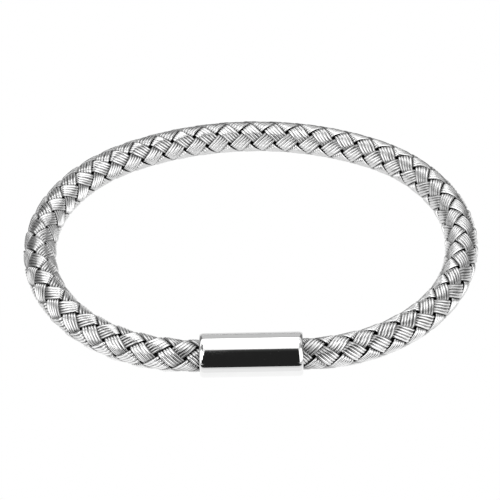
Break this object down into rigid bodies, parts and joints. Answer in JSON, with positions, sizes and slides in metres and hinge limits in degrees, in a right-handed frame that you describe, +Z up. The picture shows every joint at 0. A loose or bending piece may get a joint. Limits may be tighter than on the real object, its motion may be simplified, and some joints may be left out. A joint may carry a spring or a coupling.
{
  "type": "braided wire cord bracelet",
  "caption": "Oval wrist loop of round braided wire cord, closed at the front by a straight polished tube clasp.",
  "frame": {"origin": "middle of the footprint, on the surface that the bracelet lies on", "axes": "+X along the clasp and the loop's long way, +Y from the clasp towards the back of the loop, +Z up"},
  "size_m": [0.069, 0.0558, 0.0065],
  "materials": {
    "braid_wire": "bright drawn wire, braided in flat ribbons",
    "core": "matt black",
    "polished_clasp": "mirror polished",
    "plain_plug": "plain turned"
  },
  "bodies": {
    "root": {"wire_braid": "braid_wire", "cord_core": "core", "clasp_sleeve": "polished_clasp", "clasp_plug": "plain_plug"}
  },
  "joints": []
}
